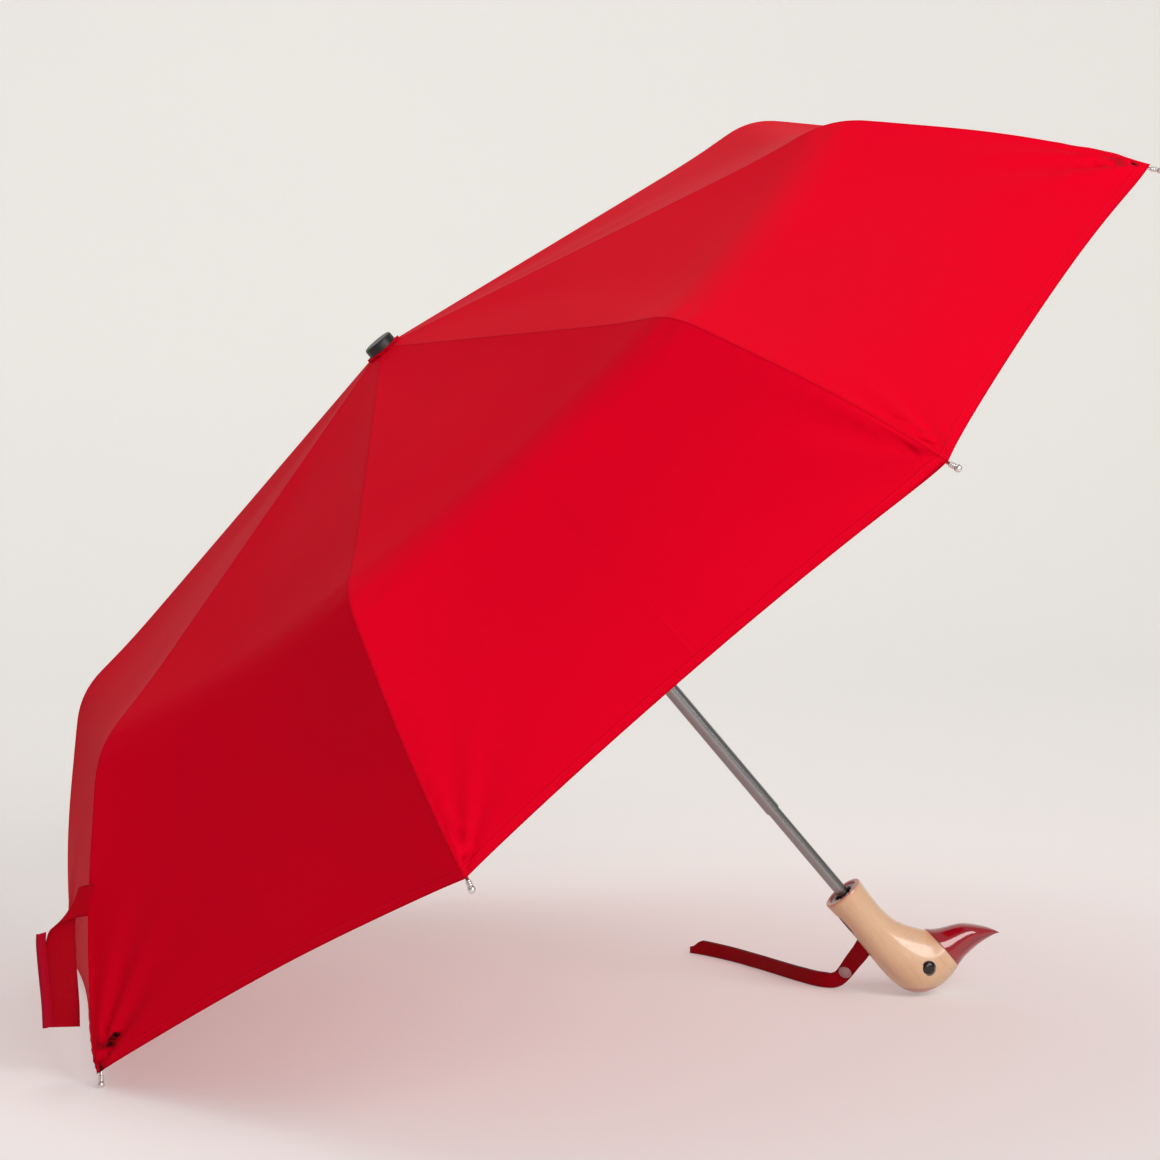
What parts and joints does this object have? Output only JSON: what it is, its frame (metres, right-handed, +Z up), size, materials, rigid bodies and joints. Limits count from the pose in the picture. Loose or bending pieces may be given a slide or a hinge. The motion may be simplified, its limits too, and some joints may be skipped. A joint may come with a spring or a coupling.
{
  "type": "folding umbrella",
  "caption": "Compact folding umbrella, open, with a fabric canopy on folding ribs, a telescoping steel shaft and a wooden duck-head handle with a wrist strap.",
  "frame": {"origin": "on the floor, midway along X and Y between the ends of the open umbrella, the wrist strap left out", "axes": "+Z up; +X from the canopy's peak towards the handle; +Y to the left of that; the XZ plane holds the shaft and the beak and is the mirror plane of all but the two straps"},
  "size_m": [0.7096, 0.8962, 0.6043],
  "materials": {
    "canopy": "plain-woven polyester with a satin sheen, bright red",
    "strap": "woven ribbon, dark red",
    "steel": "plated steel, bright",
    "wire": "plated steel wire",
    "wood": "pale wood under clear lacquer",
    "beak": "deep red gloss lacquer",
    "black_plastic": "black, glossy",
    "socket_metal": "grey plated metal",
    "brass_snap": "plated press stud"
  },
  "bodies": {
    "handle": {"handle_body": "wood", "beak": "beak", "eyes": "black_plastic", "socket_insert": "black_plastic", "socket_ring": "socket_metal", "button_spring": "wire", "lower_tube": "steel", "wrist_strap": "strap", "strap_snap": "brass_snap"},
    "button": {"push_button": "black_plastic"},
    "middle_shaft": {"middle_tube": "steel"},
    "upper_shaft": {"upper_tube": "steel", "cap": "black_plastic", "rosette": "canopy", "crown": "black_plastic", "crown_wire": "wire", "tie_strap": "strap", "canopy_panel_1": "canopy", "canopy_panel_2": "canopy", "canopy_panel_3": "canopy", "canopy_panel_4": "canopy", "canopy_panel_5": "canopy", "canopy_panel_6": "canopy", "canopy_panel_7": "canopy", "canopy_panel_8": "canopy"},
    "runner": {"runner": "black_plastic", "runner_wire": "wire"},
    "stretcher_1": {"stretcher_1": "steel"},
    "top_rib_1": {"top_rib_1": "steel"},
    "mid_rib_1": {"mid_rib_1": "steel"},
    "end_rib_1": {"end_rib_1": "wire"},
    "stretcher_2": {"stretcher_2": "steel"},
    "top_rib_2": {"top_rib_2": "steel"},
    "mid_rib_2": {"mid_rib_2": "steel"},
    "end_rib_2": {"end_rib_2": "wire"},
    "stretcher_3": {"stretcher_3": "steel"},
    "top_rib_3": {"top_rib_3": "steel"},
    "mid_rib_3": {"mid_rib_3": "steel"},
    "end_rib_3": {"end_rib_3": "wire"},
    "stretcher_4": {"stretcher_4": "steel"},
    "top_rib_4": {"top_rib_4": "steel"},
    "mid_rib_4": {"mid_rib_4": "steel"},
    "end_rib_4": {"end_rib_4": "wire"},
    "stretcher_5": {"stretcher_5": "steel"},
    "top_rib_5": {"top_rib_5": "steel"},
    "mid_rib_5": {"mid_rib_5": "steel"},
    "end_rib_5": {"end_rib_5": "wire"},
    "stretcher_6": {"stretcher_6": "steel"},
    "top_rib_6": {"top_rib_6": "steel"},
    "mid_rib_6": {"mid_rib_6": "steel"},
    "end_rib_6": {"end_rib_6": "wire"},
    "stretcher_7": {"stretcher_7": "steel"},
    "top_rib_7": {"top_rib_7": "steel"},
    "mid_rib_7": {"mid_rib_7": "steel"},
    "end_rib_7": {"end_rib_7": "wire"},
    "stretcher_8": {"stretcher_8": "steel"},
    "top_rib_8": {"top_rib_8": "steel"},
    "mid_rib_8": {"mid_rib_8": "steel"},
    "end_rib_8": {"end_rib_8": "wire"}
  },
  "joints": [
    {"name": "button_press", "type": "slide", "parent": "handle", "child": "button", "axis": [0.7666, 0, 0.6421], "range_m": [0, 0.0026], "stiffness_N_per_m": 900, "springref_m": -0.0015, "deforming": ["button_spring"]},
    {"name": "middle_shaft_slide", "type": "slide", "parent": "handle", "child": "middle_shaft", "axis": [0.6421, 0, -0.7666], "range_m": [0, 0.076]},
    {"name": "upper_shaft_slide", "type": "slide", "parent": "middle_shaft", "child": "upper_shaft", "axis": [0.6421, 0, -0.7666], "range_m": [0, 0.195]},
    {"name": "runner_slide", "type": "slide", "parent": "upper_shaft", "child": "runner", "axis": [0.6421, 0, -0.7666], "range_m": [0, 0.09972], "deforming": ["canopy_panel_1", "canopy_panel_2", "canopy_panel_3", "canopy_panel_4", "canopy_panel_5", "canopy_panel_6", "canopy_panel_7", "canopy_panel_8", "tie_strap"]},
    {"name": "stretcher_1_hinge", "type": "hinge", "parent": "runner", "child": "stretcher_1", "pos_m": [-0.06568, 0.00367, 0.39365], "axis": [-0.2934, 0.9239, -0.2457], "range_deg": [-45.78, 0]},
    {"name": "top_rib_1_hinge", "type": "hinge", "parent": "upper_shaft", "child": "top_rib_1", "pos_m": [-0.12, 0.00352, 0.45792], "axis": [-0.2934, 0.9239, -0.2457], "range_deg": [0, 75.08]},
    {"name": "mid_rib_1_hinge", "type": "hinge", "parent": "top_rib_1", "child": "mid_rib_1", "pos_m": [0.01734, 0.06664, 0.53127], "axis": [-0.2934, 0.9239, -0.2457], "range_deg": [-174.05, 0]},
    {"name": "end_rib_1_hinge", "type": "hinge", "parent": "mid_rib_1", "child": "end_rib_1", "pos_m": [0.15448, 0.12864, 0.60066], "axis": [-0.2934, 0.9239, -0.2457], "range_deg": [0, 143.4]},
    {"name": "stretcher_2_hinge", "type": "hinge", "parent": "runner", "child": "stretcher_2", "pos_m": [-0.06966, 0.00887, 0.39031], "axis": [-0.7083, 0.3827, -0.5932], "range_deg": [-45.78, 0]},
    {"name": "top_rib_2_hinge", "type": "hinge", "parent": "upper_shaft", "child": "top_rib_2", "pos_m": [-0.12381, 0.0085, 0.45473], "axis": [-0.7083, 0.3827, -0.5932], "range_deg": [0, 75.08]},
    {"name": "mid_rib_2_hinge", "type": "hinge", "parent": "top_rib_2", "child": "mid_rib_2", "pos_m": [-0.05491, 0.16088, 0.47075], "axis": [-0.7083, 0.3827, -0.5932], "range_deg": [-174.05, 0]},
    {"name": "end_rib_2_hinge", "type": "hinge", "parent": "mid_rib_2", "child": "end_rib_2", "pos_m": [0.01501, 0.31057, 0.48384], "axis": [-0.7083, 0.3827, -0.5932], "range_deg": [0, 143.4]},
    {"name": "stretcher_3_hinge", "type": "hinge", "parent": "runner", "child": "stretcher_3", "pos_m": [-0.07529, 0.00887, 0.3856], "axis": [-0.7083, -0.3827, -0.5932], "range_deg": [-45.78, 0]},
    {"name": "top_rib_3_hinge", "type": "hinge", "parent": "upper_shaft", "child": "top_rib_3", "pos_m": [-0.12921, 0.0085, 0.45021], "axis": [-0.7083, -0.3827, -0.5932], "range_deg": [0, 75.08]},
    {"name": "mid_rib_3_hinge", "type": "hinge", "parent": "top_rib_3", "child": "mid_rib_3", "pos_m": [-0.15707, 0.16088, 0.38518], "axis": [-0.7083, -0.3827, -0.5932], "range_deg": [-174.05, 0]},
    {"name": "end_rib_3_hinge", "type": "hinge", "parent": "mid_rib_3", "child": "end_rib_3", "pos_m": [-0.18222, 0.31057, 0.31864], "axis": [-0.7083, -0.3827, -0.5932], "range_deg": [0, 143.4]},
    {"name": "stretcher_4_hinge", "type": "hinge", "parent": "runner", "child": "stretcher_4", "pos_m": [-0.07928, 0.00367, 0.38226], "axis": [-0.2934, -0.9239, -0.2457], "range_deg": [-45.78, 0]},
    {"name": "top_rib_4_hinge", "type": "hinge", "parent": "upper_shaft", "child": "top_rib_4", "pos_m": [-0.13303, 0.00352, 0.44701], "axis": [-0.2934, -0.9239, -0.2457], "range_deg": [0, 75.08]},
    {"name": "mid_rib_4_hinge", "type": "hinge", "parent": "top_rib_4", "child": "mid_rib_4", "pos_m": [-0.22932, 0.06664, 0.32466], "axis": [-0.2934, -0.9239, -0.2457], "range_deg": [-174.05, 0]},
    {"name": "end_rib_4_hinge", "type": "hinge", "parent": "mid_rib_4", "child": "end_rib_4", "pos_m": [-0.32169, 0.12864, 0.20182], "axis": [-0.2934, -0.9239, -0.2457], "range_deg": [0, 143.4]},
    {"name": "stretcher_5_hinge", "type": "hinge", "parent": "runner", "child": "stretcher_5", "pos_m": [-0.07928, -0.00367, 0.38226], "axis": [0.2934, -0.9239, 0.2457], "range_deg": [-45.78, 0]},
    {"name": "top_rib_5_hinge", "type": "hinge", "parent": "upper_shaft", "child": "top_rib_5", "pos_m": [-0.13303, -0.00352, 0.44701], "axis": [0.2934, -0.9239, 0.2457], "range_deg": [0, 75.08]},
    {"name": "mid_rib_5_hinge", "type": "hinge", "parent": "top_rib_5", "child": "mid_rib_5", "pos_m": [-0.22932, -0.06664, 0.32466], "axis": [0.2934, -0.9239, 0.2457], "range_deg": [-174.05, 0]},
    {"name": "end_rib_5_hinge", "type": "hinge", "parent": "mid_rib_5", "child": "end_rib_5", "pos_m": [-0.32169, -0.12864, 0.20182], "axis": [0.2934, -0.9239, 0.2457], "range_deg": [0, 143.4]},
    {"name": "stretcher_6_hinge", "type": "hinge", "parent": "runner", "child": "stretcher_6", "pos_m": [-0.07529, -0.00887, 0.3856], "axis": [0.7083, -0.3827, 0.5932], "range_deg": [-45.78, 0]},
    {"name": "top_rib_6_hinge", "type": "hinge", "parent": "upper_shaft", "child": "top_rib_6", "pos_m": [-0.12921, -0.0085, 0.45021], "axis": [0.7083, -0.3827, 0.5932], "range_deg": [0, 75.08]},
    {"name": "mid_rib_6_hinge", "type": "hinge", "parent": "top_rib_6", "child": "mid_rib_6", "pos_m": [-0.15707, -0.16088, 0.38518], "axis": [0.7083, -0.3827, 0.5932], "range_deg": [-174.05, 0]},
    {"name": "end_rib_6_hinge", "type": "hinge", "parent": "mid_rib_6", "child": "end_rib_6", "pos_m": [-0.18222, -0.31057, 0.31864], "axis": [0.7083, -0.3827, 0.5932], "range_deg": [0, 143.4]},
    {"name": "stretcher_7_hinge", "type": "hinge", "parent": "runner", "child": "stretcher_7", "pos_m": [-0.06966, -0.00887, 0.39031], "axis": [0.7083, 0.3827, 0.5932], "range_deg": [-45.78, 0]},
    {"name": "top_rib_7_hinge", "type": "hinge", "parent": "upper_shaft", "child": "top_rib_7", "pos_m": [-0.12381, -0.0085, 0.45473], "axis": [0.7083, 0.3827, 0.5932], "range_deg": [0, 75.08]},
    {"name": "mid_rib_7_hinge", "type": "hinge", "parent": "top_rib_7", "child": "mid_rib_7", "pos_m": [-0.05491, -0.16088, 0.47075], "axis": [0.7083, 0.3827, 0.5932], "range_deg": [-174.05, 0]},
    {"name": "end_rib_7_hinge", "type": "hinge", "parent": "mid_rib_7", "child": "end_rib_7", "pos_m": [0.01501, -0.31057, 0.48384], "axis": [0.7083, 0.3827, 0.5932], "range_deg": [0, 143.4]},
    {"name": "stretcher_8_hinge", "type": "hinge", "parent": "runner", "child": "stretcher_8", "pos_m": [-0.06568, -0.00367, 0.39365], "axis": [0.2934, 0.9239, 0.2457], "range_deg": [-45.78, 0]},
    {"name": "top_rib_8_hinge", "type": "hinge", "parent": "upper_shaft", "child": "top_rib_8", "pos_m": [-0.12, -0.00352, 0.45792], "axis": [0.2934, 0.9239, 0.2457], "range_deg": [0, 75.08]},
    {"name": "mid_rib_8_hinge", "type": "hinge", "parent": "top_rib_8", "child": "mid_rib_8", "pos_m": [0.01734, -0.06664, 0.53127], "axis": [0.2934, 0.9239, 0.2457], "range_deg": [-174.05, 0]},
    {"name": "end_rib_8_hinge", "type": "hinge", "parent": "mid_rib_8", "child": "end_rib_8", "pos_m": [0.15448, -0.12864, 0.60066], "axis": [0.2934, 0.9239, 0.2457], "range_deg": [0, 143.4]}
  ],
  "couplings": [
    {"joint": "stretcher_1_hinge", "follows": "runner_slide", "rad_per_m": -8.0039},
    {"joint": "top_rib_1_hinge", "follows": "runner_slide", "rad_per_m": 13.132},
    {"joint": "mid_rib_1_hinge", "follows": "runner_slide", "rad_per_m": -30.453},
    {"joint": "end_rib_1_hinge", "follows": "runner_slide", "rad_per_m": 25.088},
    {"joint": "stretcher_2_hinge", "follows": "runner_slide", "rad_per_m": -8.0039},
    {"joint": "top_rib_2_hinge", "follows": "runner_slide", "rad_per_m": 13.132},
    {"joint": "mid_rib_2_hinge", "follows": "runner_slide", "rad_per_m": -30.453},
    {"joint": "end_rib_2_hinge", "follows": "runner_slide", "rad_per_m": 25.088},
    {"joint": "stretcher_3_hinge", "follows": "runner_slide", "rad_per_m": -8.0039},
    {"joint": "top_rib_3_hinge", "follows": "runner_slide", "rad_per_m": 13.132},
    {"joint": "mid_rib_3_hinge", "follows": "runner_slide", "rad_per_m": -30.453},
    {"joint": "end_rib_3_hinge", "follows": "runner_slide", "rad_per_m": 25.088},
    {"joint": "stretcher_4_hinge", "follows": "runner_slide", "rad_per_m": -8.0039},
    {"joint": "top_rib_4_hinge", "follows": "runner_slide", "rad_per_m": 13.132},
    {"joint": "mid_rib_4_hinge", "follows": "runner_slide", "rad_per_m": -30.453},
    {"joint": "end_rib_4_hinge", "follows": "runner_slide", "rad_per_m": 25.088},
    {"joint": "stretcher_5_hinge", "follows": "runner_slide", "rad_per_m": -8.0039},
    {"joint": "top_rib_5_hinge", "follows": "runner_slide", "rad_per_m": 13.132},
    {"joint": "mid_rib_5_hinge", "follows": "runner_slide", "rad_per_m": -30.453},
    {"joint": "end_rib_5_hinge", "follows": "runner_slide", "rad_per_m": 25.088},
    {"joint": "stretcher_6_hinge", "follows": "runner_slide", "rad_per_m": -8.0039},
    {"joint": "top_rib_6_hinge", "follows": "runner_slide", "rad_per_m": 13.132},
    {"joint": "mid_rib_6_hinge", "follows": "runner_slide", "rad_per_m": -30.453},
    {"joint": "end_rib_6_hinge", "follows": "runner_slide", "rad_per_m": 25.088},
    {"joint": "stretcher_7_hinge", "follows": "runner_slide", "rad_per_m": -8.0039},
    {"joint": "top_rib_7_hinge", "follows": "runner_slide", "rad_per_m": 13.132},
    {"joint": "mid_rib_7_hinge", "follows": "runner_slide", "rad_per_m": -30.453},
    {"joint": "end_rib_7_hinge", "follows": "runner_slide", "rad_per_m": 25.088},
    {"joint": "stretcher_8_hinge", "follows": "runner_slide", "rad_per_m": -8.0039},
    {"joint": "top_rib_8_hinge", "follows": "runner_slide", "rad_per_m": 13.132},
    {"joint": "mid_rib_8_hinge", "follows": "runner_slide", "rad_per_m": -30.453},
    {"joint": "end_rib_8_hinge", "follows": "runner_slide", "rad_per_m": 25.088}
  ]
}
